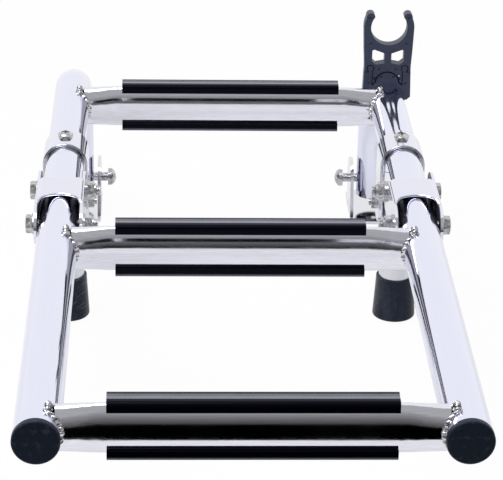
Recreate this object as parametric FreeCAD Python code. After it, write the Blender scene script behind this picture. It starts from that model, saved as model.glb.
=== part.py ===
"""Folding boarding ladder with three steps, in stainless-steel tube, opened out flat.

The rails run along Y, the steps along X, and the transom face is the plane Z = 0.
The origin is the middle of the left bracket's base face, under the left rail's leg.
"""
import FreeCAD, Part
import math
import os

V = FreeCAD.Vector
X_AXIS = V(1, 0, 0)
Y_AXIS = V(0, 1, 0)
Z_AXIS = V(0, 0, 1)

# Rails: two round tubes, each in an upper and a lower length
RAIL_D = 31.75
RAIL_WALL = 1.5
RAIL_SPACING = 282.6
RAIL_HEIGHT = 146.0
BEND_RADIUS = 76.0
LOWER_RAIL_LENGTH = 378.0
LEG_TAIL = 16.0

# Hinge: one channel-shaped link on each side, with a bolt at each end
LINK_PITCH = 68.0
RAIL_STUB = 29.0
LINK_SHEET = 2.6
LINK_SIDE_GAP = 0.5
LINK_TOP_GAP = 0.4
LINK_END_R = 16.0
LINK_NOTCH_R = 18.5
LINK_WEB_BACK = 18.0
LINK_FOLD_R = 3.0
HINGE_Y = -306.0

# Steps: round tube pressed to an oval between the tread ends
RUNG_END_HALF_DEPTH = 17.2
RUNG_END_HALF_THICK = 8.3
RUNG_WALL = 1.2
OVAL_HALF_DEPTH = 18.4
OVAL_HALF_THICK = 6.2
TREAD_LENGTH = 192.0
UPPER_RUNG_TO_BEND = 35.0
MIDDLE_RUNG_INSET = 75.0
LOWER_RUNG_INSET = 16.7

# Treads: extruded plastic channel, hooked over the oval tube from its back
TREAD_SIDE = 3.2
TREAD_BACK = 3.8
TREAD_LIP = 7.6
TREAD_LIP_THICK = 2.8
TREAD_LIP_FRONT = 7.0
TREAD_GAP = 0.2
TREAD_CORNER_R = 1.8
TREAD_FRONT_R = 3.0
TREAD_BEAD_Y = 5.4
TREAD_BEAD_R = 5.0
TREAD_BEAD_H = 0.9
TREAD_RIBS = 8
TREAD_RIB_H = 0.9
TREAD_RIB_W = 2.0

# End plugs of the lower rails
CAP_D = 32.3
CAP_HEAD = 5.0
CAP_ROUND = 1.6
CAP_SPIGOT = 16.0
CAP_SPIGOT_GAP = 0.05

# Standoffs: a strap over each upper rail carries a short leg with a rubber foot
STRAP_Y = -233.0
STRAP_WIDTH = 35.0
STRAP_SHEET = 2.5
STRAP_GAP = 0.3
STRAP_DROP = 55.0
STRAP_CORNER_R = 14.0
STANDOFF_D = 28.6
STANDOFF_WALL = 1.5
STANDOFF_TOP_GAP = 0.5
STANDOFF_BOLT_DROP = 40.0
FOOT_TOP_D = 32.6
FOOT_BASE_D = 37.0
FOOT_HEIGHT = 37.5
FOOT_SOLE = 8.0
FOOT_FIT = 0.05
FOOT_ROUND = 2.0

# Fasteners
BOLT_D = 8.0
BOLT_HEAD_AF = 13.0
BOLT_HEAD_H = 5.3
WASHER_D = 17.0
WASHER_T = 1.6
NUT_H = 5.6
NUT_COLLAR_D = 11.8
NUT_COLLAR_H = 2.6
BOLT_TAIL = 2.0
PIVOT_CLEARANCE = 0.08
SMALL_BOLT_D = 6.0
SMALL_HEAD_AF = 10.0
SMALL_HEAD_H = 4.0
SMALL_NUT_H = 5.0
SCREW_D = 6.0
SCREW_HEAD_D = 12.5
SCREW_HEAD_H = 4.4

# Transom brackets: a sheet clevis under each leg
BRACKET_SHEET = 3.0
BRACKET_GAP = 4.0
BRACKET_EAR_R = 20.0
BRACKET_EAR_FRONT = 30.0
BRACKET_EAR_BACK = 8.0
BRACKET_PIVOT_H = 32.0
BRACKET_BASE_LENGTH = 78.0
BRACKET_BASE_R = 8.0
BRACKET_HOLE_D = 6.5
BRACKET_HOLE_SPACING = 58.0
BRACKET_FOLD_R = 2.0
LEG_HEAD_D = 16.0
LEG_HEAD_H = 7.5
LEG_HEAD_GAP = 6.5

# Clip: a snap hook on the right upper rail that holds the folded lower rail
CLIP_DEPTH = 10.0
CLIP_TO_BEND = 16.0
CLIP_BORE_GAP = 0.3
CLIP_RAIL_GAP = 0.05
CLIP_HOOK_R = 22.4
CLIP_TIP_R = 3.9
CLIP_TIP_RISE = 9.7
CLIP_WAIST = 20.8
CLIP_WINDOW_HALF = 21.6
CLIP_SADDLE_TOP = 26.4
CLIP_SADDLE_FLARE = 21.5
CLIP_SADDLE_R = 19.6
CLIP_HUMP_R = 10.8
CLIP_SHOULDER_X = 13.6
CLIP_KNOB_R = 3.1
CLIP_KNOB_X = 15.4
CLIP_KNOB_Z = 29.6
CLIP_NECK_HALF = 1.6
CLIP_JOINT_GAP = 0.25
CLIP_WINDOW_Z = 45.0
CLIP_TAIL_X = 18.2
CLIP_WINDOW = [(3.0, -1.1), (12.4, 2.4), (14.2, 1.6), (14.2, -8.6), (10.6, -11.6), (3.0, -10.2)]
CLIP_SLOT = [(9.4, -22.4), (10.9, -21.6), (12.8, -25.2), (11.3, -26.4)]

RAIL_R = RAIL_D / 2
RAIL_X = {"left": 0.0, "right": RAIL_SPACING}
INWARD = {"left": 1.0, "right": -1.0}
LOWER_HINGE_Y = HINGE_Y - LINK_PITCH
LOWER_RAIL_TOP_Y = LOWER_HINGE_Y + RAIL_STUB
LOWER_RAIL_END_Y = LOWER_RAIL_TOP_Y - LOWER_RAIL_LENGTH
UPPER_RAIL_END_Y = HINGE_Y - RAIL_STUB
BEND_Y = -BEND_RADIUS
UPPER_RUNG_Y = BEND_Y - UPPER_RUNG_TO_BEND
MIDDLE_RUNG_Y = LOWER_RAIL_TOP_Y - MIDDLE_RUNG_INSET
LOWER_RUNG_Y = LOWER_RAIL_END_Y + LOWER_RUNG_INSET
MIDDLE_X = RAIL_SPACING / 2
CLIP_FRONT_Y = BEND_Y - CLIP_TO_BEND
TREAD_HALF_HEIGHT = OVAL_HALF_DEPTH + TREAD_GAP + TREAD_SIDE


def cylinder(radius, length, base, direction):
    """A solid cylinder from its base point along a direction."""
    return Part.makeCylinder(radius, length, base, direction)


def tube(radius, wall, length, base, direction):
    """A straight round tube with open ends."""
    bore = cylinder(radius - wall, length, base, direction)
    return cylinder(radius, length, base, direction).cut(bore)


def ring_face(radius, wall, centre, normal):
    """The flat cross-section of a round tube."""
    outer = Part.Wire(Part.makeCircle(radius, centre, normal))
    inner = Part.Wire(Part.makeCircle(radius - wall, centre, normal))
    return Part.Face([outer, inner])


def across(radius, x, y, z, reach):
    """A cutting cylinder along X through a point, reaching out on both sides."""
    return cylinder(radius, 2 * reach, V(x - reach, y, z), X_AXIS)


def hex_prism(across_flats, height, base, direction):
    """A hexagonal prism with rounded-off corners on its free end, standing on base."""
    circumradius = across_flats / math.sqrt(3)
    corners = []
    for i in range(7):
        angle = math.radians(60 * i + 30)
        corners.append(V(circumradius * math.cos(angle), circumradius * math.sin(angle), 0))
    prism = Part.Face(Part.makePolygon(corners)).extrude(V(0, 0, height))
    cone_r = across_flats / 2 + height * 1.7
    crown = Part.makeCone(cone_r, across_flats / 2 * 0.96, height)
    prism = prism.common(crown)
    prism.Placement = FreeCAD.Placement(base, FreeCAD.Rotation(Z_AXIS, direction))
    return prism


def domed_head(radius, height, base, direction):
    """A pan head: a short cylinder that closes in a shallow dome."""
    rim = height * 0.45
    sphere_r = (radius ** 2 + (height - rim) ** 2) / (2 * (height - rim))
    head = Part.makeCylinder(radius, height)
    ball = Part.makeSphere(sphere_r, V(0, 0, height - sphere_r))
    head = head.common(ball)
    head.Placement = FreeCAD.Placement(base, FreeCAD.Rotation(Z_AXIS, direction))
    return head


def fillet_where(shape, radius, test):
    """Rounds the edges whose middle point passes a test."""
    edges = []
    for edge in shape.Edges:
        middle = edge.valueAt((edge.FirstParameter + edge.LastParameter) / 2)
        if test(edge, middle):
            edges.append(edge)
    return shape.makeFillet(radius, edges)


def upper_rail(side):
    """Upper rail: straight tube, quarter bend and short leg down to the bracket."""
    x = RAIL_X[side]
    straight = tube(RAIL_R, RAIL_WALL, BEND_Y - UPPER_RAIL_END_Y, V(x, UPPER_RAIL_END_Y, RAIL_HEIGHT), Y_AXIS)
    section = ring_face(RAIL_R, RAIL_WALL, V(x, BEND_Y, RAIL_HEIGHT), Y_AXIS)
    bend_centre = V(x, BEND_Y, RAIL_HEIGHT - BEND_RADIUS)
    bend = section.revolve(bend_centre, V(-1, 0, 0), 90)
    leg_end = BRACKET_PIVOT_H - LEG_TAIL
    leg_length = RAIL_HEIGHT - BEND_RADIUS - leg_end
    leg = tube(RAIL_R, RAIL_WALL, leg_length, V(x, 0, leg_end), Z_AXIS)
    rail = straight.fuse([bend, leg]).removeSplitter()
    hole_r = BOLT_D / 2 + PIVOT_CLEARANCE
    for y, z in ((HINGE_Y, RAIL_HEIGHT), (0, BRACKET_PIVOT_H)):
        rail = rail.cut(across(hole_r, x, y, z, RAIL_D))
    screw_hole = cylinder(SCREW_D / 2, RAIL_R, V(x, STRAP_Y, RAIL_HEIGHT), Z_AXIS)
    return rail.cut(screw_hole)


def lower_rail(side):
    """Lower rail: straight tube with a bolt hole near its hinged end."""
    x = RAIL_X[side]
    rail = tube(RAIL_R, RAIL_WALL, LOWER_RAIL_LENGTH, V(x, LOWER_RAIL_END_Y, RAIL_HEIGHT), Y_AXIS)
    return rail.cut(across(BOLT_D / 2 + PIVOT_CLEARANCE, x, LOWER_HINGE_Y, RAIL_HEIGHT, RAIL_D))


def oval_wire(x, y, half_thick, half_depth):
    """An oval across the step tube, its long axis upright."""
    ellipse = Part.Ellipse(V(0, 0, 0), max(half_depth, half_thick * 1.00001), half_thick)
    placed = ellipse.toShape()
    turn = FreeCAD.Rotation(Z_AXIS, X_AXIS)
    placed.Placement = FreeCAD.Placement(V(x, y, RAIL_HEIGHT), turn)
    return Part.Wire(placed)


def rung_solid(y, shrink):
    """The step tube's envelope: flattened along the tread, easing to fuller ends."""
    end_x = RAIL_R * 0.75
    tread_x = MIDDLE_X - TREAD_LENGTH / 2
    near = []
    far = []
    for share in (0.0, 0.25, 0.5, 0.75, 1.0):
        ease = share * share * (3 - 2 * share)
        thick = RUNG_END_HALF_THICK + ease * (OVAL_HALF_THICK - RUNG_END_HALF_THICK) - shrink
        depth = RUNG_END_HALF_DEPTH + ease * (OVAL_HALF_DEPTH - RUNG_END_HALF_DEPTH) - shrink
        x = end_x + share * (tread_x - end_x)
        near.append(oval_wire(x, y, thick, depth))
        far.append(oval_wire(RAIL_SPACING - x, y, thick, depth))
    middle = Part.makeLoft([near[-1], far[-1]], True, True)
    return middle.fuse([Part.makeLoft(near, True, False), Part.makeLoft(far, True, False)])


def rung(y):
    """Step tube with its ends coped to the rails."""
    body = rung_solid(y, 0).cut(rung_solid(y, RUNG_WALL))
    for x in RAIL_X.values():
        body = body.cut(cylinder(RAIL_R, 3 * RAIL_D, V(x, y - 1.5 * RAIL_D, RAIL_HEIGHT), Y_AXIS))
    return body


def tread(y):
    """Plastic channel round the step tube, with ribs along its standing face."""
    length = TREAD_LENGTH
    start_x = MIDDLE_X - length / 2
    front = -TREAD_LIP_FRONT
    back = OVAL_HALF_THICK + TREAD_GAP + TREAD_BACK
    outer = Part.makeBox(length, back - front, 2 * TREAD_HALF_HEIGHT, V(start_x, y + front, RAIL_HEIGHT - TREAD_HALF_HEIGHT))
    outer = fillet_where(outer, TREAD_CORNER_R, lambda edge, middle: abs(middle.x - MIDDLE_X) < 1 and middle.y > y)
    outer = fillet_where(outer, TREAD_FRONT_R, lambda edge, middle: abs(middle.x - MIDDLE_X) < 1 and middle.y < y + front / 2)
    side = TREAD_HALF_HEIGHT - TREAD_SIDE
    hollow_front = front + TREAD_LIP_THICK
    hollow_depth = back - TREAD_BACK - hollow_front
    hollow = Part.makeBox(length, hollow_depth, 2 * side, V(start_x, y + hollow_front, RAIL_HEIGHT - side))
    mouth_half = TREAD_HALF_HEIGHT - TREAD_LIP
    mouth = Part.makeBox(length, 2 * TREAD_LIP_THICK, 2 * mouth_half, V(start_x, y + front - TREAD_LIP_THICK / 2, RAIL_HEIGHT - mouth_half))
    body = outer.cut([hollow, mouth])
    pitch = (2 * TREAD_HALF_HEIGHT - 2 * TREAD_CORNER_R - TREAD_RIB_W) / (TREAD_RIBS - 1)
    ribs = []
    for i in range(TREAD_RIBS):
        z = RAIL_HEIGHT - TREAD_HALF_HEIGHT + TREAD_CORNER_R + i * pitch
        ribs.append(Part.makeBox(length, TREAD_RIB_H + 0.5, TREAD_RIB_W, V(start_x, y + back - 0.5, z)))
    for hand in (-1, 1):
        crest = RAIL_HEIGHT + hand * (TREAD_HALF_HEIGHT + TREAD_BEAD_H - TREAD_BEAD_R)
        rod = cylinder(TREAD_BEAD_R, length, V(start_x, y + TREAD_BEAD_Y, crest), X_AXIS)
        ribs.append(rod.cut(Part.makeBox(length, back - front, 2 * side + TREAD_SIDE, V(start_x, y + front, RAIL_HEIGHT - side - TREAD_SIDE / 2))))
    return body.fuse(ribs).removeSplitter()


def end_cap(side):
    """Plug that closes a lower rail: a rounded head on a spigot inside the tube."""
    x = RAIL_X[side]
    head = cylinder(CAP_D / 2, CAP_HEAD, V(x, LOWER_RAIL_END_Y - CAP_HEAD, RAIL_HEIGHT), Y_AXIS)
    head = fillet_where(head, CAP_ROUND, lambda edge, middle: middle.y < LOWER_RAIL_END_Y - CAP_HEAD / 2)
    spigot_r = RAIL_R - RAIL_WALL - CAP_SPIGOT_GAP
    spigot = cylinder(spigot_r, CAP_SPIGOT, V(x, LOWER_RAIL_END_Y, RAIL_HEIGHT), Y_AXIS)
    return head.fuse(spigot)


def stadium(y0, y1, z, radius, x, thick):
    """A flat bar with round ends, from one centre to the other, standing across X."""
    first = cylinder(radius, thick, V(x, y0, z), X_AXIS)
    second = cylinder(radius, thick, V(x, y1, z), X_AXIS)
    bar = Part.makeBox(thick, abs(y1 - y0), 2 * radius, V(x, min(y0, y1), z - radius))
    return bar.fuse([first, second]).removeSplitter()


def link(side):
    """Hinge link: a channel over both rail ends, notched where the lower rail folds up."""
    x = RAIL_X[side]
    inner = RAIL_R + LINK_SIDE_GAP
    outer = inner + LINK_SHEET
    web_under = RAIL_HEIGHT + RAIL_R + LINK_TOP_GAP
    web_top = web_under + LINK_SHEET
    web_far = HINGE_Y - LINK_WEB_BACK
    cheek_low = RAIL_HEIGHT
    saddle = Part.makeBox(2 * outer, web_far - LOWER_HINGE_Y, web_top - cheek_low, V(x - outer, LOWER_HINGE_Y, cheek_low))
    saddle = fillet_where(saddle, LINK_FOLD_R + LINK_SHEET, lambda edge, m: m.z > web_top - 0.1 and abs(m.x - x) > outer - 0.1)
    hollow = Part.makeBox(2 * inner, web_far - LOWER_HINGE_Y, web_under - cheek_low, V(x - inner, LOWER_HINGE_Y, cheek_low))
    hollow = fillet_where(hollow, LINK_FOLD_R, lambda edge, m: m.z > web_under - 0.1 and abs(m.x - x) > inner - 0.1)
    body = saddle.cut(hollow)
    notch_low = web_under - LINK_FOLD_R
    notch = cylinder(LINK_NOTCH_R, 4 * LINK_SHEET, V(x, LOWER_HINGE_Y, notch_low), Z_AXIS)
    body = body.cut(notch)
    for face_x in (x - outer, x + inner):
        body = body.fuse(stadium(LOWER_HINGE_Y, HINGE_Y, RAIL_HEIGHT, LINK_END_R, face_x, LINK_SHEET))
    body = body.removeSplitter()
    for y in (LOWER_HINGE_Y, HINGE_Y):
        body = body.cut(across(BOLT_D / 2, x, y, RAIL_HEIGHT, 2 * outer))
    return body


def locknut(base, direction):
    """A hex locknut with its round collar and the bolt's end showing through."""
    nut = hex_prism(BOLT_HEAD_AF, NUT_H, base, direction)
    collar = domed_head(NUT_COLLAR_D / 2, NUT_COLLAR_H, base + direction * NUT_H, direction)
    tail = cylinder(BOLT_D / 2, NUT_COLLAR_H + BOLT_TAIL, base + direction * NUT_H, direction)
    return nut.fuse([collar, tail])


def hinge_bolt(side, y):
    """Hinge bolt: hex head and washer outside, washer and locknut inside."""
    x = RAIL_X[side]
    inward = V(INWARD[side], 0, 0)
    outward = inward * -1
    face = RAIL_R + LINK_SIDE_GAP + LINK_SHEET
    centre = V(x, y, RAIL_HEIGHT)
    parts = [cylinder(WASHER_D / 2, WASHER_T, centre + outward * face, outward)]
    parts.append(hex_prism(BOLT_HEAD_AF, BOLT_HEAD_H, centre + outward * (face + WASHER_T), outward))
    parts.append(cylinder(WASHER_D / 2, WASHER_T, centre + inward * face, inward))
    parts.append(locknut(centre + inward * (face + WASHER_T), inward))
    shank = cylinder(BOLT_D / 2, 2 * face + 2 * WASHER_T + 2, centre + outward * (face + WASHER_T + 1), inward)
    return shank.fuse(parts).removeSplitter()


def strap(side):
    """Standoff strap: a sheet saddle over the rail with its sides carried down."""
    x = RAIL_X[side]
    inner = RAIL_R + STRAP_GAP
    outer = inner + STRAP_SHEET
    start = V(x, STRAP_Y - STRAP_WIDTH / 2, RAIL_HEIGHT)
    body = cylinder(outer, STRAP_WIDTH, start, Y_AXIS)
    low = RAIL_HEIGHT - STRAP_DROP
    sides = Part.makeBox(2 * outer, STRAP_WIDTH, STRAP_DROP, V(x - outer, STRAP_Y - STRAP_WIDTH / 2, low))
    body = body.fuse(sides).removeSplitter()
    space = cylinder(inner, STRAP_WIDTH, start, Y_AXIS)
    between = Part.makeBox(2 * inner, STRAP_WIDTH, STRAP_DROP, V(x - inner, STRAP_Y - STRAP_WIDTH / 2, low))
    body = body.cut([space, between])
    body = fillet_where(body, STRAP_CORNER_R, lambda edge, m: m.z < low + 0.1 and abs(edge.Length - STRAP_SHEET) < 0.01)
    bolt_z = RAIL_HEIGHT - STANDOFF_BOLT_DROP
    body = body.cut(across(SMALL_BOLT_D / 2, x, STRAP_Y, bolt_z, 2 * outer))
    return body.cut(cylinder(SCREW_D / 2, 2 * outer, V(x, STRAP_Y, RAIL_HEIGHT), Z_AXIS))


def strap_screw(side):
    """Cross-slotted pan-head screw that clamps a strap to its rail."""
    x = RAIL_X[side]
    seat = RAIL_HEIGHT + RAIL_R + STRAP_GAP + STRAP_SHEET
    head = domed_head(SCREW_HEAD_D / 2, SCREW_HEAD_H, V(x, STRAP_Y, seat), Z_AXIS)
    slot_depth = SCREW_HEAD_H * 0.55
    slot_l = SCREW_HEAD_D * 0.52
    slot_w = SCREW_HEAD_D * 0.13
    for length, width in ((slot_l, slot_w), (slot_w, slot_l)):
        slot = Part.makeBox(length, width, slot_depth + 1, V(x - length / 2, STRAP_Y - width / 2, seat + SCREW_HEAD_H - slot_depth))
        head = head.cut(slot)
    shank_low = RAIL_HEIGHT + RAIL_R - RAIL_WALL - 4
    shank = cylinder(SCREW_D / 2, seat - shank_low, V(x, STRAP_Y, shank_low), Z_AXIS)
    return head.fuse(shank)


def standoff(side):
    """Standoff leg: a short tube between the strap's sides."""
    x = RAIL_X[side]
    top = RAIL_HEIGHT - RAIL_R - STANDOFF_TOP_GAP
    body = tube(STANDOFF_D / 2, STANDOFF_WALL, top - FOOT_SOLE, V(x, STRAP_Y, FOOT_SOLE), Z_AXIS)
    bolt_z = RAIL_HEIGHT - STANDOFF_BOLT_DROP
    return body.cut(across(SMALL_BOLT_D / 2, x, STRAP_Y, bolt_z, RAIL_D))


def standoff_bolt(side):
    """Cross bolt through a strap and its standoff leg, with a plain nut inside."""
    x = RAIL_X[side]
    inward = V(INWARD[side], 0, 0)
    outward = inward * -1
    face = RAIL_R + STRAP_GAP + STRAP_SHEET
    centre = V(x, STRAP_Y, RAIL_HEIGHT - STANDOFF_BOLT_DROP)
    head = hex_prism(SMALL_HEAD_AF, SMALL_HEAD_H, centre + outward * face, outward)
    nut = hex_prism(SMALL_HEAD_AF, SMALL_NUT_H, centre + inward * face, inward)
    shank = cylinder(SMALL_BOLT_D / 2, 2 * face + SMALL_NUT_H + 3, centre + outward * (face + 1), inward)
    return shank.fuse([head, nut]).removeSplitter()


def foot(side):
    """Rubber foot: a tapered boot with a thick sole, pushed over the standoff leg."""
    x = RAIL_X[side]
    body = Part.makeCone(FOOT_BASE_D / 2, FOOT_TOP_D / 2, FOOT_HEIGHT, V(x, STRAP_Y, 0), Z_AXIS)
    body = fillet_where(body, FOOT_ROUND, lambda edge, m: m.z < 0.1 and edge.Length > FOOT_BASE_D)
    socket = cylinder(STANDOFF_D / 2 + FOOT_FIT, FOOT_HEIGHT, V(x, STRAP_Y, FOOT_SOLE), Z_AXIS)
    return body.cut(socket)


def ear_outline():
    """Straight part of an ear: from the base up to where it meets the round top."""
    points = [(-BRACKET_EAR_FRONT, 0), (BRACKET_EAR_BACK, 0)]
    for foot_y, turn in ((BRACKET_EAR_BACK, 1), (-BRACKET_EAR_FRONT, -1)):
        reach = math.hypot(foot_y, BRACKET_PIVOT_H)
        lean = math.atan2(foot_y, BRACKET_PIVOT_H)
        open_angle = math.acos(BRACKET_EAR_R / reach)
        angle = -math.pi / 2 + lean + turn * open_angle
        points.append((BRACKET_EAR_R * math.cos(angle), BRACKET_PIVOT_H + BRACKET_EAR_R * math.sin(angle)))
    return points + [points[0]]


def bracket(side):
    """Transom bracket: a sheet clevis with two ears on a drilled base."""
    x = RAIL_X[side]
    inner = RAIL_R + BRACKET_GAP
    outer = inner + BRACKET_SHEET
    base = Part.makeBox(2 * outer, BRACKET_BASE_LENGTH, BRACKET_SHEET, V(x - outer, -BRACKET_BASE_LENGTH / 2, 0))
    base = fillet_where(base, BRACKET_BASE_R, lambda edge, m: abs(edge.Length - BRACKET_SHEET) < 0.01)
    body = base
    for face_x in (x - outer, x + inner):
        ear = cylinder(BRACKET_EAR_R, BRACKET_SHEET, V(face_x, 0, BRACKET_PIVOT_H), X_AXIS)
        corners = []
        for y, z in ear_outline():
            corners.append(V(face_x, y, z))
        plate = Part.Face(Part.makePolygon(corners)).extrude(V(BRACKET_SHEET, 0, 0))
        body = body.fuse([ear, plate])
    body = body.removeSplitter()
    body = body.cut(across(BOLT_D / 2, x, 0, BRACKET_PIVOT_H, 2 * outer))
    for y in (-BRACKET_HOLE_SPACING / 2, BRACKET_HOLE_SPACING / 2):
        body = body.cut(cylinder(BRACKET_HOLE_D / 2, 3 * BRACKET_SHEET, V(x, y, -BRACKET_SHEET), Z_AXIS))
    return body


def leg_bolt(side):
    """Pivot bolt of a leg: a pan head that stands off inside, washer and locknut outside."""
    x = RAIL_X[side]
    inward = V(INWARD[side], 0, 0)
    outward = inward * -1
    face = RAIL_R + BRACKET_GAP + BRACKET_SHEET
    centre = V(x, 0, BRACKET_PIVOT_H)
    parts = [domed_head(LEG_HEAD_D / 2, LEG_HEAD_H, centre + inward * (face + LEG_HEAD_GAP), inward)]
    parts.append(cylinder(WASHER_D / 2, WASHER_T, centre + outward * face, outward))
    parts.append(locknut(centre + outward * (face + WASHER_T), outward))
    start = face + WASHER_T + 1
    shank = cylinder(BOLT_D / 2, start + face + LEG_HEAD_GAP + 1, centre + outward * start, inward)
    return shank.fuse(parts).removeSplitter()


def clip_plate(face):
    """Extrudes a flat profile drawn in the clip's front plane to the clip's depth."""
    solids = face.extrude(V(0, CLIP_DEPTH, 0)).Solids
    if len(solids) == 1:
        return solids[0]
    return solids[0].fuse(solids[1:]).removeSplitter()


def disc_xz(radius, x, z):
    """A disc in the clip's front plane."""
    return Part.Face(Part.Wire(Part.makeCircle(radius, V(x, CLIP_FRONT_Y, z), Y_AXIS)))


def polygon_xz(points):
    """A polygon in the clip's front plane, closed by its first point."""
    corners = [V(x, CLIP_FRONT_Y, z) for x, z in points]
    return Part.Face(Part.makePolygon(corners + [corners[0]]))


def box_xz(x0, x1, z0, z1):
    """A rectangle in the clip's front plane."""
    return polygon_xz([(x0, z0), (x1, z0), (x1, z1), (x0, z1)])


def saddle_profile(grow):
    """The saddle's top outline, grown by a gap where the hook fits over it."""
    x = RAIL_X["right"]
    shoulder = RAIL_HEIGHT + CLIP_SADDLE_TOP + grow
    profile = disc_xz(CLIP_SADDLE_R + grow, x, RAIL_HEIGHT)
    hump_z = RAIL_HEIGHT + CLIP_SADDLE_TOP - CLIP_HUMP_R
    pieces = [disc_xz(CLIP_HUMP_R + grow, x, hump_z)]
    for hand in (-1, 1):
        knob_x = x + hand * CLIP_KNOB_X
        knob_z = RAIL_HEIGHT + CLIP_KNOB_Z
        inner = x + hand * (CLIP_SHOULDER_X - grow)
        outer = x + hand * CLIP_SADDLE_FLARE
        half = CLIP_NECK_HALF + grow
        pieces.append(box_xz(min(inner, outer), max(inner, outer), RAIL_HEIGHT, shoulder))
        pieces.append(box_xz(knob_x - half, knob_x + half, shoulder - 1, knob_z))
        pieces.append(disc_xz(CLIP_KNOB_R + grow, knob_x, knob_z))
    return profile.fuse(pieces)


def rail_clip():
    """Clip hook: open ring for the folded rail, over two windows and a keyed lower edge."""
    x = RAIL_X["right"]
    hook_z = RAIL_HEIGHT + LINK_PITCH
    tip_z = hook_z + CLIP_TIP_RISE
    bore_r = RAIL_R + CLIP_BORE_GAP
    low = RAIL_HEIGHT + CLIP_SADDLE_R - 4
    window_z = RAIL_HEIGHT + CLIP_WINDOW_Z
    outline = polygon_xz([
        (x - CLIP_WAIST, low), (x + CLIP_WAIST, low), (x + CLIP_WAIST, window_z - 12),
        (x + CLIP_WINDOW_HALF, window_z + 2), (x + CLIP_HOOK_R, hook_z),
        (x - CLIP_HOOK_R, hook_z), (x - CLIP_WINDOW_HALF, window_z + 2), (x - CLIP_WAIST, window_z - 12)])
    reach = 2 * CLIP_HOOK_R
    arms = disc_xz(CLIP_HOOK_R, x, hook_z).common(box_xz(x - reach, x + reach, hook_z - 5, tip_z))
    tips = [disc_xz(CLIP_TIP_R, x + hand * (CLIP_HOOK_R - 1.8 - CLIP_TIP_R), tip_z) for hand in (-1, 1)]
    profile = outline.fuse([arms] + tips)
    mouth = CLIP_HOOK_R - 1.8 - 2 * CLIP_TIP_R
    cuts = [disc_xz(bore_r, x, hook_z), box_xz(x - mouth, x + mouth, tip_z - 1, tip_z + 9)]
    cuts.append(saddle_profile(CLIP_JOINT_GAP))
    for hand in (-1, 1):
        for hole in (CLIP_WINDOW, CLIP_SLOT):
            cuts.append(polygon_xz([(x + hand * u, window_z + v) for u, v in hole]))
    return clip_plate(profile.cut(cuts))


def rail_clip_saddle():
    """Clip saddle: rests on the rail, with a round knob on each shoulder locked in the hook."""
    x = RAIL_X["right"]
    low = RAIL_HEIGHT
    tail = low + 3
    shoulder = RAIL_HEIGHT + CLIP_KNOB_Z + CLIP_KNOB_R
    edge = CLIP_SADDLE_FLARE - 0.6
    limit = polygon_xz([
        (x - CLIP_TAIL_X, low), (x + CLIP_TAIL_X, low), (x + CLIP_SADDLE_FLARE, tail), (x + edge, RAIL_HEIGHT + CLIP_SADDLE_TOP),
        (x + edge, shoulder), (x - edge, shoulder), (x - edge, RAIL_HEIGHT + CLIP_SADDLE_TOP), (x - CLIP_SADDLE_FLARE, tail)])
    profile = saddle_profile(0).common(limit)
    return clip_plate(profile.cut(disc_xz(RAIL_R + CLIP_RAIL_GAP, x, RAIL_HEIGHT)))


def build():
    """Every piece of the ladder by node name."""
    nodes = {}
    for side in ("left", "right"):
        nodes["bracket_" + side] = bracket(side)
        nodes["leg_bolt_" + side] = leg_bolt(side)
        nodes["upper_rail_" + side] = upper_rail(side)
        nodes["standoff_strap_" + side] = strap(side)
        nodes["strap_screw_" + side] = strap_screw(side)
        nodes["standoff_" + side] = standoff(side)
        nodes["standoff_bolt_" + side] = standoff_bolt(side)
        nodes["foot_" + side] = foot(side)
        nodes["hinge_link_" + side] = link(side)
        nodes["upper_hinge_bolt_" + side] = hinge_bolt(side, HINGE_Y)
        nodes["lower_hinge_bolt_" + side] = hinge_bolt(side, LOWER_HINGE_Y)
        nodes["lower_rail_" + side] = lower_rail(side)
        nodes["end_cap_" + side] = end_cap(side)
    for name, y in (("upper", UPPER_RUNG_Y), ("middle", MIDDLE_RUNG_Y), ("lower", LOWER_RUNG_Y)):
        nodes[name + "_rung"] = rung(y)
        nodes[name + "_tread"] = tread(y)
    nodes["rail_clip"] = rail_clip()
    nodes["rail_clip_saddle"] = rail_clip_saddle()
    return nodes


os.makedirs("parts", exist_ok=True)
for name, shape in build().items():
    shape.exportStep("parts/" + name + ".step")
    print(name, len(shape.Solids), shape.isValid(), round(shape.Volume / 1000, 2), "cm3")
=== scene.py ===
"""Folding boarding ladder in stainless tube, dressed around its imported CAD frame."""
import math

import bmesh
import bpy
from mathutils import Matrix, Vector


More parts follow.
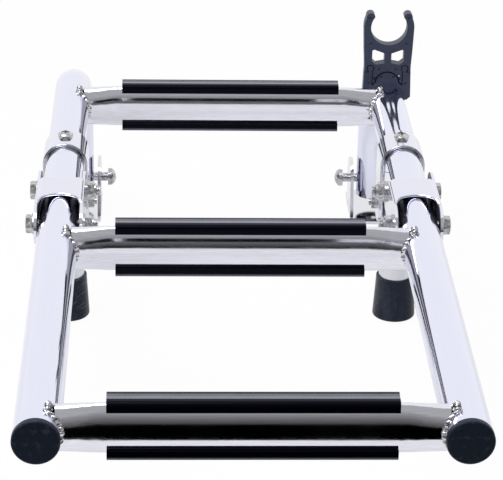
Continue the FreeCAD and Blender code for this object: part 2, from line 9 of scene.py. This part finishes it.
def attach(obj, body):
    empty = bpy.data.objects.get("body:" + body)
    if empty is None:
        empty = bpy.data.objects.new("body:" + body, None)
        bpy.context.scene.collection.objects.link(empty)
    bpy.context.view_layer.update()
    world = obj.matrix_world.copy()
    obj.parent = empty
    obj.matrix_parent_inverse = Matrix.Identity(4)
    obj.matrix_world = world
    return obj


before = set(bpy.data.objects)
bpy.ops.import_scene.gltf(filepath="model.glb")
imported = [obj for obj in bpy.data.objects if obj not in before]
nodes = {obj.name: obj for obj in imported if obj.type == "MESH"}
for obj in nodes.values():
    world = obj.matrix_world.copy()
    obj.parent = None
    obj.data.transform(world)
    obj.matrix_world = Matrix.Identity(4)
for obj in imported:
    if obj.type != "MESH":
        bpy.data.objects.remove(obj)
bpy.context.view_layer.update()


# Rails
# Two bent upper rails and two straight lower rails in round stainless tube,
# mirror-polished along their length, with faint polishing lines and wiped smears.
class Wire:
    """A socket that does sums: each operator adds one Math node to its tree."""

    def __init__(self, socket):
        self.socket = socket
        self.tree = socket.id_data

    @classmethod
    def node(cls, tree, kind, settings=None, inputs=None, out=0):
        """Makes any node: settings first, then the value or link of each input."""
        made = tree.nodes.new(kind)
        for key, value in (settings or {}).items():
            setattr(made, key, value)
        for key, value in (inputs or {}).items():
            if isinstance(value, cls):
                tree.links.new(value.socket, made.inputs[key])
            else:
                made.inputs[key].default_value = value
        return cls(made.outputs[out]) if len(made.outputs) else None

    def twin(self, out):
        """Another output of the same node."""
        return Wire(self.socket.node.outputs[out])

    def into(self, target):
        """Links this socket to another node's input."""
        self.tree.links.new(self.socket, target)

    def math(self, operation, *others):
        """One Math node with this socket as its first value."""
        values = dict(enumerate((self,) + others))
        return Wire.node(self.tree, "ShaderNodeMath", {"operation": operation}, values)

    def __add__(self, other):
        return self.math("ADD", other)

    def __sub__(self, other):
        return self.math("SUBTRACT", other)

    def __mul__(self, other):
        return self.math("MULTIPLY", other)

    def __truediv__(self, other):
        return self.math("DIVIDE", other)

    def __pow__(self, other):
        return self.math("POWER", other)

    def __rsub__(self, other):
        return self * -1 + other

    def __rtruediv__(self, other):
        return self ** -1 * other

    __radd__ = __add__
    __rmul__ = __mul__


def new_material(name, base, metallic, roughness, gloss=0.5):
    """A material, its shader node and its object-space position."""
    material = bpy.data.materials.new(name)
    material.use_nodes = True
    shader = material.node_tree.nodes["Principled BSDF"]
    shader.inputs["Base Color"].default_value = (*base, 1)
    shader.inputs["Metallic"].default_value = metallic
    shader.inputs["Roughness"].default_value = roughness
    shader.inputs["Specular IOR Level"].default_value = gloss
    if metallic == 0:
        shader.inputs["Specular Tint"].default_value = (0.75, 0.80, 1.0, 1)
    place = Wire.node(material.node_tree, "ShaderNodeTexCoord", out="Object")
    return material, shader, place


def noise(place, stretch, detail=3.0, roughness=0.5):
    """Noise on a stretched position: a high number is a fine grain across that axis."""
    moved = Wire.node(place.tree, "ShaderNodeVectorMath", {"operation": "MULTIPLY"}, {
        0: place, 1: stretch}, "Vector")
    values = {"Vector": moved, "Scale": 1.0, "Detail": detail, "Roughness": roughness}
    return Wire.node(place.tree, "ShaderNodeTexNoise", {}, values, "Fac")


def colours(factor, dark, light):
    """A colour between two, by a factor."""
    ends = [end if isinstance(end, Wire) else (*end, 1) for end in (dark, light)]
    values = {0: factor, 6: ends[0], 7: ends[1]}
    return Wire.node(factor.tree, "ShaderNodeMix", {"data_type": "RGBA"}, values, 2)


def spread(value, low, high, first=0.0, last=1.0):
    """Stretches a value's range from low to high over first to last, and no further."""
    values = {"Value": value, "From Min": low, "From Max": high, "To Min": first, "To Max": last}
    return Wire.node(value.tree, "ShaderNodeMapRange", {}, values)


def finish(shader, colour, roughness=None, height=None, relief=0.0):
    """Links what varies over the surface to the shader: colour, roughness and relief."""
    colour.into(shader.inputs["Base Color"])
    if roughness:
        roughness.into(shader.inputs["Roughness"])
    if height:
        values = {"Height": height, "Distance": relief, "Strength": 1.0}
        Wire.node(height.tree, "ShaderNodeBump", {}, values).into(shader.inputs["Normal"])


def dress(node, material):
    """Puts one material on a CAD node's mesh."""
    mesh = nodes[node].data
    mesh.materials.clear()
    mesh.materials.append(material)


def steel(name, grain, dark, light, shine, relief):
    """Stainless steel whose polishing lines run along the axis with the smallest grain."""
    material, shader, place = new_material(name, light, 1.0, shine)
    lines = noise(place, grain, 4.0, 0.6)
    smears = spread(noise(place, (19, 13, 19), 3.0), 0.38, 0.72)
    colour = colours(spread(lines, 0.3, 0.7), dark, light)
    finish(shader, colour, shine + smears * 0.05 + lines * 0.05, lines, relief)
    return material


rail_steel = steel("polished rail", (2400, 20, 2400), (0.775, 0.78, 0.91), (0.80, 0.805, 0.94),
                   0.03, 0.0000012)
for side in ("left", "right"):
    dress("upper_rail_" + side, rail_steel)
    dress("lower_rail_" + side, rail_steel)


# Rungs
# Tube pressed flat under the treads and fuller at its coped, welded ends,
# polished, with fine lines along its length.
rung_ys = {"upper": -0.111, "middle": -0.420, "lower": -0.7063}
rung_steel = steel("satin rung", (60, 1700, 1700), (0.71, 0.71, 0.78), (0.85, 0.85, 0.93),
                   0.055, 0.000004)
for name in rung_ys:
    dress(name + "_rung", rung_steel)


# Weld beads
# A rippled bead of weld metal round each end of each rung, brushed bright,
# following the line where the pressed tube meets the rail.
weld_steel, shader, place = new_material("weld metal", (0.6, 0.6, 0.64), 1.0, 0.2)
speckle = noise(place, (700, 700, 700), 3.0)
weld_colour = colours(spread(speckle, 0.35, 0.6), (0.16, 0.155, 0.165), (0.86, 0.86, 0.90))
finish(shader, weld_colour, 0.12 + speckle * 0.12, speckle, 0.0004)


def new_group(name, inputs):
    """A geometry tree with named inputs, and a wire from each of them."""
    group = bpy.data.node_groups.new(name, "GeometryNodeTree")
    for label, kind, value in inputs:
        item = group.interface.new_socket(label, in_out="INPUT", socket_type="NodeSocket" + kind)
        if value is not None:
            item.default_value = value
    group.interface.new_socket("mesh", in_out="OUTPUT", socket_type="NodeSocketGeometry")
    source = Wire.node(group, "NodeGroupInput")
    return group, [source.twin(number) for number in range(len(inputs))]


def close_group(group, shape, metal):
    """Ends a geometry tree: instances made real, the material, the output."""
    real = Wire.node(group, "GeometryNodeRealizeInstances", {}, {"Geometry": shape})
    values = {"Geometry": real, "Material": metal}
    coloured = Wire.node(group, "GeometryNodeSetMaterial", {}, values)
    Wire.node(group, "NodeGroupOutput", {}, {0: coloured})


def grown(name, group, values, offset=(0, 0, 0), turn=None, path=()):
    """The mesh a tree makes from its inputs and a path, moved to its place, faces outwards."""
    line = bpy.data.meshes.new(name + " path")
    line.from_pydata(path, [(i, i + 1) for i in range(len(path) - 1)], [])
    shell = bpy.data.objects.new(name + " source", line)
    bpy.context.scene.collection.objects.link(shell)
    modifier = shell.modifiers.new("grow", "NODES")
    modifier.node_group = group
    for item in group.interface.items_tree:
        if item.name in values:
            modifier[item.identifier] = values[item.name]
    graph = bpy.context.evaluated_depsgraph_get()
    mesh = bpy.data.meshes.new_from_object(shell.evaluated_get(graph))
    bpy.data.objects.remove(shell)
    mesh.transform(Matrix.Translation(offset) @ (turn or Matrix.Identity(4)))
    work = bmesh.new()
    work.from_mesh(mesh)
    bmesh.ops.recalc_face_normals(work, faces=work.faces)
    work.to_mesh(mesh)
    work.free()
    made = bpy.data.objects.new(name, mesh)
    bpy.context.scene.collection.objects.link(made)
    return made


bead, wires = new_group("weld bead", (
    ("half thickness", "Float", 0.0082), ("half depth", "Float", 0.0171),
    ("rail radius", "Float", 0.015875), ("bead radius", "Float", 0.0021),
    ("ripple", "Float", 0.2), ("ripples", "Float", 30.0), ("seed", "Float", 0.0),
    ("hand", "Float", 1.0), ("metal", "Material", None)))
thick, deep, rail_r, bead_r, ripple, ripples, seed, hand, metal = wires
around, across = 288, 12
unevenness, least_square, seam_gap = 260, 0.000056, 0.00002
sizes = {"Size X": 1.0, "Size Y": 1.0, "Vertices X": around + 1, "Vertices Y": across + 1}
grid = Wire.node(bead, "GeometryNodeMeshGrid", {}, sizes)
index = Wire.node(bead, "GeometryNodeInputIndex")
column = (index / (across + 1)).math("FLOOR")
theta = column * (math.tau / around)
phi = (index - column * (across + 1)) * (math.tau / across)
up = deep * theta.math("SINE")
aside = thick * theta.math("COSINE")
middle = Wire.node(bead, "ShaderNodeCombineXYZ", {}, {
    0: seed, 1: aside * unevenness, 2: up * unevenness})
uneven = Wire.node(bead, "ShaderNodeTexNoise", {}, {
    "Vector": middle, "Scale": 1.0, "Detail": 2.0}, "Fac")
lobe = (theta * ripples / 2 + phi.math("COSINE") * 0.5 + uneven * 3).math("SINE").math("ABSOLUTE")
size = bead_r * (0.55 - ripple + ripple * 2 * lobe + uneven * 0.9)
lift = size * phi.math("COSINE") * 0.9
surface_x = (rail_r * rail_r - up * up).math("MAXIMUM", least_square).math("SQRT")
spot = Wire.node(bead, "ShaderNodeCombineXYZ", {}, {
    0: (surface_x + size * phi.math("SINE")) * hand,
    1: aside + lift * theta.math("COSINE"),
    2: up + lift * theta.math("SINE")})
shaped = Wire.node(bead, "GeometryNodeSetPosition", {}, {"Geometry": grid, "Position": spot})
closed = Wire.node(bead, "GeometryNodeMergeByDistance", {}, {
    "Geometry": shaped, "Distance": seam_gap})
close_group(bead, Wire.node(bead, "GeometryNodeSetShadeSmooth", {}, {"Geometry": closed}), metal)

rail_gap = 0.2826
rail_z = 0.146
rails = {"left": (0.0, 1.0), "right": (rail_gap, -1.0)}
for number, (name, y) in enumerate(rung_ys.items()):
    for side, (x, inward) in rails.items():
        values = {"seed": number * 7.0 + x * 11, "hand": inward, "metal": weld_steel}
        piece = grown(f"weld_{name}_{side}", bead, values, (x, y, rail_z))
        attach(piece, "upper_section" if name == "upper" else "lower_section")


# Treads
# Extruded black plastic channels hooked over the pressed tube, glossy, with faint
# draw lines along their length and a painted highlight near each long edge: a paler, coated line.
def axes(place):
    """A position's three coordinates."""
    apart = Wire.node(place.tree, "ShaderNodeSeparateXYZ", {}, {0: place})
    return apart, apart.twin("Y"), apart.twin("Z")


highlight_middle, highlight_half, highlight_blur = 0.0018, 0.0022, 0.0010
hem_highlight_top, hem_highlight_bottom = -0.0184, -0.0200
for name, y in rung_ys.items():
    tread_black, shader, place = new_material("glossy extruded plastic " + name,
                                              (0.001, 0.001, 0.004), 0.0, 0.2)
    shader.inputs["IOR"].default_value = 1.16
    draw = noise(place, (9, 1500, 1500), 3.0)
    wear = noise(place, (60, 400, 400), 4.0)
    _, along, height = axes(place)
    # Painted highlight: a paler, clear-coated band a little behind the rung's middle and a paler
    # bottom hem; the rest is the plastic's own black, varied at random.
    off_highlight = (along - (y + highlight_middle)).math("ABSOLUTE")
    top = spread(off_highlight, highlight_half + highlight_blur, highlight_half)
    hem_highlight = spread(height - rail_z, hem_highlight_top, hem_highlight_bottom, 0.0, 0.8)
    polished = top.math("MAXIMUM", hem_highlight)
    plain_black = colours(wear, (0.0006, 0.0008, 0.0035), (0.0012, 0.0014, 0.005))
    highlight_colour = colours(wear, (0.11, 0.114, 0.15), (0.18, 0.187, 0.24))
    finish(shader, colours(polished, plain_black, highlight_colour), 0.12 + draw * 0.14, draw, 0.00002)
    polished.into(shader.inputs["Coat Weight"])
    dress(name + "_tread", tread_black)


# End caps
# Moulded black plugs pushed into the lower rails' open ends,
# satin with a fine grain.
cap_black, shader, place = new_material("moulded cap plastic",
                                        (0.010, 0.013, 0.022), 0.0, 0.45, 0.22)
grain = noise(place, (900, 900, 900), 2.0)
dust = spread(noise(place, (210, 210, 210), 5.0), 0.55, 0.8)
cap_colour = colours(dust, (0.012, 0.017, 0.031), (0.045, 0.055, 0.085))
finish(shader, cap_colour, 0.36 + grain * 0.2, grain, 0.00006)
for side in rails:
    dress("end_cap_" + side, cap_black)


# Hinge links and their bolts
# Pressed stainless channels over both rail ends, polished like the rails outside and with
# painted shade inside, dark and rougher, held by through bolts with washers and locknuts.
link_dark, link_light = (0.765, 0.77, 0.865), (0.80, 0.805, 0.905)
link_steel = steel("polished link", (30, 1700, 1700), link_dark, link_light, 0.05, 0.000002)
bolt_steel = steel("bright fastener", (340, 340, 340), (0.20, 0.20, 0.215), (0.76, 0.76, 0.79),
                   0.06, 0.0004)
inner_x, inner_z, fade = 0.0166, 0.0165, 0.0004
hinge_steel, shader, place = new_material("hinge link", link_light, 1.0, 0.05)
lines = noise(place, (30, 1700, 1700), 4.0, 0.6)
across_x, _, height = axes(place)
# Painted shade: inside each channel, beside and below the rail, the steel is coloured near-black
# and made rougher.
off_rail = ((across_x - rail_gap / 2).math("ABSOLUTE") - rail_gap / 2).math("ABSOLUTE")
beside = spread(off_rail, inner_x + fade, inner_x)
below = spread(height - rail_z, inner_z + fade, inner_z)
painted_shade_inside = beside * below
outer = colours(spread(lines, 0.3, 0.7), link_dark, link_light)
link_colour = colours(painted_shade_inside, outer, (0.11, 0.11, 0.125))
finish(shader, link_colour, 0.06 + lines * 0.05 + painted_shade_inside * 0.4, lines, 0.000002)
for side in rails:
    dress("hinge_link_" + side, hinge_steel)
    for fastener in ("upper_hinge_bolt_", "lower_hinge_bolt_", "leg_bolt_",
                     "standoff_bolt_", "strap_screw_"):
        dress(fastener + side, bolt_steel)


# Sheet edges of the hinge links
# The cut front edge of each link's top, tumbled round, so that it shows
# as a bright line over the shadow inside the link.
edging, (route, radius, sides, metal) = new_group("round edge", (
    ("path", "Geometry", None), ("radius", "Float", 0.0012),
    ("sides", "Int", 12), ("metal", "Material", None)))
curve = Wire.node(edging, "GeometryNodeMeshToCurve", {}, {"Mesh": route})
ring = Wire.node(edging, "GeometryNodeCurvePrimitiveCircle", {"mode": "RADIUS"}, {
    "Resolution": sides, "Radius": radius})
swept = Wire.node(edging, "GeometryNodeCurveToMesh", {}, {
    "Curve": curve, "Profile Curve": ring, "Fill Caps": True})
close_group(edging, Wire.node(edging, "GeometryNodeSetShadeSmooth", {}, {"Geometry": swept}), metal)

upper_hinge_y, lower_hinge_y = -0.306, -0.374
edge_half, edge_lift = 0.0176, 0.0002
notch_r, fold_x, fold_z, fold_r, sheet_r = 0.0185, 0.013375, 0.013275, 0.0043, 0.0013
for side, (x, _) in rails.items():
    path = []
    for step in range(49):
        u = edge_half * math.sin(math.radians(-90 + step * 3.75))
        past_fold = max(abs(u) - fold_x, 0.0)
        path.append((x + u,
                     lower_hinge_y + math.sqrt(notch_r ** 2 - u * u) + edge_lift,
                     rail_z + fold_z + math.sqrt(fold_r ** 2 - past_fold ** 2)))
    values = {"radius": sheet_r, "metal": link_steel}
    piece = grown("link_edge_" + side, edging, values, path=path)
    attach(piece, "hinge_links")


# Bolt threads
# A rolled thread on every bolt end that shows past its locknut, and on the
# bare shank of each leg bolt, as a ridge round the plain cylinder.
thread, (radius, depth, pitch, turns, metal) = new_group("thread", (
    ("radius", "Float", 0.00396), ("depth", "Float", 0.0003), ("pitch", "Float", 0.00125),
    ("turns", "Float", 4.0), ("metal", "Material", None)))
facets, rows, middle_row, row_step = 28, 4, 1.5, 0.26
steps = (turns * facets).math("ROUND")
sizes = {"Size X": 1.0, "Size Y": 1.0, "Vertices X": steps + 1, "Vertices Y": rows}
grid = Wire.node(thread, "GeometryNodeMeshGrid", {}, sizes)
index = Wire.node(thread, "GeometryNodeInputIndex")
column = (index / rows).math("FLOOR")
row = index - column * rows
angle = column * (math.tau / facets)
crest = 1 - ((row - middle_row).math("ABSOLUTE") - 0.5)
out = radius + depth * crest
along = pitch * (angle / math.tau + (row - middle_row) * row_step)
spot = Wire.node(thread, "ShaderNodeCombineXYZ", {}, {
    0: along, 1: out * angle.math("COSINE"), 2: out * angle.math("SINE")})
shaped = Wire.node(thread, "GeometryNodeSetPosition", {}, {"Geometry": grid, "Position": spot})
close_group(thread, shaped, metal)

leg_bolt_z = 0.032
for side, (x, inward) in rails.items():
    for name, body, y, z, start, turn_count in (
            ("thread_upper_hinge_", "upper_section", upper_hinge_y, rail_z, 0.0287, 1.0),
            ("thread_lower_hinge_", "hinge_links", lower_hinge_y, rail_z, 0.0287, 1.0),
            ("thread_leg_end_", "transom_brackets", 0.0, leg_bolt_z, -0.0346, 1.0),
            ("thread_leg_shank_", "transom_brackets", 0.0, leg_bolt_z, 0.0232, 4.6)):
        values = {"turns": turn_count, "metal": bolt_steel}
        turn = Matrix.Scale(math.copysign(1.0, inward * start), 4, (1, 0, 0))
        piece = grown(name + side, thread, values, (x + inward * start, y, z), turn)
        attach(piece, body)


# Standoffs
# Polished straps over the upper rails, each with a short leg of tube below,
# and a moulded rubber foot pushed over the leg's end.
leg_steel = steel("brushed leg", (1500, 1500, 40), (0.66, 0.66, 0.71), (0.80, 0.80, 0.86),
                  0.2, 0.000008)
# Strap edge steel, much darker than the rails': painted shade along the strap edges, over random
# polishing tone.
strap_edge_shaded_steel = steel("strap edge steel with painted shade", (400, 400, 400), (0.34, 0.34, 0.37), (0.62, 0.62, 0.66),
                   0.1, 0.00002)
scratch_depth = {"left": 0.9, "right": 0.12}
strap_r, strap_drop, strap_edge_r = 0.017425, 0.040, 0.00115
for side, (x, _) in rails.items():
    foot_rubber, shader, place = new_material("foot rubber " + side,
                                              (0.010, 0.014, 0.024), 0.0, 0.35, 0.3)
    mould = noise(place, (500, 500, 500), 3.0)
    scuff = spread(noise(place, (90, 90, 25), 5.0), 0.5, 0.72)
    leaning = Wire.node(place.tree, "ShaderNodeVectorRotate", {"rotation_type": "EULER_XYZ"}, {
        "Vector": place, "Rotation": (0.5, 0.7, 0.3)}, "Vector")
    scratches = spread(noise(leaning, (60, 60, 900), 2.0), 0.60, 0.66)
    marks = (scuff * 0.3 + scratches * scratch_depth[side]).math("MINIMUM", 1.0)
    foot_colour = colours(marks, (0.005, 0.008, 0.017), (0.075, 0.092, 0.125))
    finish(shader, foot_colour, 0.2 + mould * 0.16, mould, 0.00005)
    dress("foot_" + side, foot_rubber)
    dress("standoff_strap_" + side, link_steel)
    dress("standoff_" + side, leg_steel)
    for end, y in (("front", -0.2501), ("rear", -0.2159)):
        path = [(x - strap_r, y, rail_z - strap_drop)]
        for step in range(37):
            bend = math.radians(180 - step * 5)
            path.append((x + strap_r * math.cos(bend), y, rail_z + strap_r * math.sin(bend)))
        path.append((x + strap_r, y, rail_z - strap_drop))
        values = {"radius": strap_edge_r, "metal": strap_edge_shaded_steel}
        piece = grown(f"strap_edge_{end}_{side}", edging, values, path=path)
        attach(piece, "upper_section")


# Transom brackets
# Bent stainless sheet with two ears beside each rail leg, polished,
# held to the leg by its pivot bolt.
bracket_steel = steel("bracket sheet", (30, 1700, 1700), (0.73, 0.73, 0.76), (0.79, 0.79, 0.83),
                      0.05, 0.000002)
for side in rails:
    dress("bracket_" + side, bracket_steel)


# Rail clip
# Moulded black clip in two keyed pieces on the right upper rail, satin, with
# small round ejector marks, and the joint between the pieces drawn as a black line: painted shade
# in its gap.
ejector_marks = ((0.0173, 0.0770), (0.0160, 0.0530), (0.0077, 0.0290),
                 (0.0056, 0.0217), (0.0165, 0.0155))
mark_r, mark_blur = 0.0009, 0.0005
clip_black, shader, place = new_material("clip plastic", (0.05, 0.062, 0.105), 0.0, 0.4, 0.5)
skin = noise(place, (800, 800, 800), 2.0)
across_x, _, height = axes(place)
sideways = (across_x - rail_gap).math("ABSOLUTE")
upwards = height - rail_z
marks = skin * 0
for u, w in ejector_marks:
    away = ((sideways - u) ** 2 + (upwards - w) ** 2) ** 0.5
    marks = marks + spread(away, mark_r + mark_blur, mark_r)
clip_colour = colours(skin, (0.030, 0.037, 0.066), (0.054, 0.064, 0.104))
marked = colours(marks * 0.85, clip_colour, (0.006, 0.007, 0.012))
finish(shader, marked, 0.32 + skin * 0.2, skin * 0.12 - marks, 0.0004)
dress("rail_clip", clip_black)
dress("rail_clip_saddle", clip_black)

# The seam rods are near-black: the real joint line, with the shade in its gap painted in.
seam_shade_black, shader, place = new_material("clip seam shade", (0.002, 0.002, 0.003), 0.0, 0.7, 0.1)
finish(shader, colours(noise(place, (900, 900, 900)), (0.001, 0.001, 0.002), (0.004, 0.004, 0.006)))
clip_front_y = -0.0920
knob_x, knob_z, knob_r = 0.0154, 0.0296, 0.0031
saddle_r, hump_z, hump_r = 0.0196, 0.0156, 0.0108


def arc(middle_x, middle_z, size, degrees):
    """Points on a circle at the given angles."""
    turns = [math.radians(value) for value in degrees]
    return [(middle_x + size * math.cos(t), middle_z + size * math.sin(t)) for t in turns]


key = [(0.0208, 0.0264), (0.0170, 0.0264), (0.0170, 0.0269)]
key += arc(knob_x, knob_z, knob_r, [-59 + step * 16.6 for step in range(19)])
key += [(0.0138, 0.0269), (0.0138, 0.0264), (0.0136, 0.0262), (0.0136, 0.0142)]
hump = arc(0.0, 0.0, saddle_r, (47, 50, 53, 56.7)) + arc(0.0, hump_z, hump_r, range(6, 91, 6))
for name, hand in (("left", -1.0), ("right", 1.0)):
    for part, outline, width in (("key", key, 0.00036), ("hump", hump, 0.00055)):
        placed = [(rail_gap + hand * u, clip_front_y, rail_z + w) for u, w in outline]
        values = {"radius": width, "sides": 8, "metal": seam_shade_black}
        piece = grown(f"clip_seam_{part}_{name}", edging, values, path=placed)
        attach(piece, "upper_section")


# Floor, light and background
# A white floor and background, grey walls and a dark studio floor that only
# the steel reflects, one large soft lamp and the camera at the viewing angle.
def studio_sheet(name, corners):
    """A flat sheet of the studio, which is no part of the ladder."""
    mesh = bpy.data.meshes.new(name)
    mesh.from_pydata(corners, [], [(0, 1, 2, 3)])
    sheet = bpy.data.objects.new(name, mesh)
    bpy.context.scene.collection.objects.link(sheet)
    return sheet


floor_z, table_edge_y = -0.0005, -0.86
floor = studio_sheet("floor", [(-6, table_edge_y, floor_z), (6, table_edge_y, floor_z),
                               (6, 9, floor_z), (-6, 9, floor_z)])
floor_white, shader, place = new_material("floor", (0.9, 0.9, 0.9), 0.0, 0.8)
camera_ray = Wire.node(place.tree, "ShaderNodeLightPath", out="Is Camera Ray")
mirrored = camera_ray.twin("Is Glossy Ray") + camera_ray.twin("Is Transmission Ray")
_, along, _ = axes(place)
# In reflections the floor glows less near the ladder and more towards the back: painted shade near
# the ladder, added to the real shadow in its diffuse part.
seen = camera_ray + mirrored * spread(along, 0.0, 1.2, 0.4, 1.0)
white = Wire.node(place.tree, "ShaderNodeEmission", {}, {"Color": (1, 1, 1, 1), "Strength": 1.0})
both = Wire.node(place.tree, "ShaderNodeMixShader", {}, {
    0: seen.math("MINIMUM", 0.96), 1: Wire(shader.outputs[0]), 2: white})
both.into(place.tree.nodes["Material Output"].inputs["Surface"])
floor.data.materials.append(floor_white)

front_y, low_z, wall_dark, wall_light = -3.4, -0.65, 0.06, 0.46
for name, shade, corners in (
        ("dark_studio_floor", 0.0,
         [(-5, front_y, low_z), (5, front_y, low_z), (5, -0.9, low_z), (-5, -0.9, low_z)]),
        ("front_studio_wall", 1.0,
         [(-5, front_y, low_z), (5, front_y, low_z), (5, front_y, 7.0), (-5, front_y, 7.0)]),
        ("left_studio_wall", 0.5,
         [(-3.6, front_y, low_z), (-3.6, 0.9, low_z), (-3.6, 0.9, 3.2), (-3.6, front_y, 3.2)]),
        ("right_studio_wall", 0.5,
         [(3.9, front_y, low_z), (3.9, 0.9, low_z), (3.9, 0.9, 3.2), (3.9, front_y, 3.2)])):
    wall = studio_sheet(name, corners)
    wall.visible_camera = False
    wall.visible_shadow = False
    wall_grey, shader, place = new_material(name, (0.0, 0.0, 0.0), 0.0, 0.9, 0.0)
    _, _, height = axes(place)
    grey = spread(height, -0.6, 1.0, wall_dark * shade, wall_light * shade)
    grey.into(shader.inputs["Emission Color"])
    shader.inputs["Emission Strength"].default_value = 1.0
    wall.data.materials.append(wall_grey)

scene = bpy.context.scene
scene.view_settings.view_transform = "Standard"
world = bpy.data.worlds.new("studio")
scene.world = world
world.use_nodes = True
background = world.node_tree.nodes["Background"]
background.inputs["Color"].default_value = (1, 1, 1, 1)
camera_ray = Wire.node(world.node_tree, "ShaderNodeLightPath", out="Is Camera Ray")
seen = camera_ray + camera_ray.twin("Is Glossy Ray") + camera_ray.twin("Is Transmission Ray")
(0.65 + seen.math("MINIMUM", 1.0) * 0.35).into(background.inputs["Strength"])

lamp = bpy.data.lights.new("softbox", "AREA")
lamp.shape = "RECTANGLE"
lamp.size = 1.6
lamp.size_y = 1.2
lamp.energy = 28
softbox = bpy.data.objects.new("softbox", lamp)
softbox.location = (-0.6, -0.9, 2.0)
toward_ladder = Vector((0.14, -0.35, 0.1)) - softbox.location
softbox.rotation_euler = toward_ladder.to_track_quat("-Z", "Y").to_euler()
scene.collection.objects.link(softbox)

camera = bpy.data.cameras.new("camera")
camera.lens = 164.6
camera.sensor_width = 36
eye = bpy.data.objects.new("camera", camera)
eye_place = Matrix.Translation((0.0819, -2.0334, 0.8717))
pitch, yaw, roll = (math.radians(value) for value in (23.99, 2.41, 1.16))
ahead = Vector((math.sin(yaw) * math.cos(pitch), math.cos(yaw) * math.cos(pitch), -math.sin(pitch)))
level = Vector((math.cos(yaw), -math.sin(yaw), 0))
upright = level.cross(ahead)
right = math.cos(roll) * level + math.sin(roll) * upright
top = -math.sin(roll) * level + math.cos(roll) * upright
eye.matrix_world = eye_place @ Matrix((right, top, -ahead)).transposed().to_4x4()
scene.collection.objects.link(eye)
scene.camera = eye
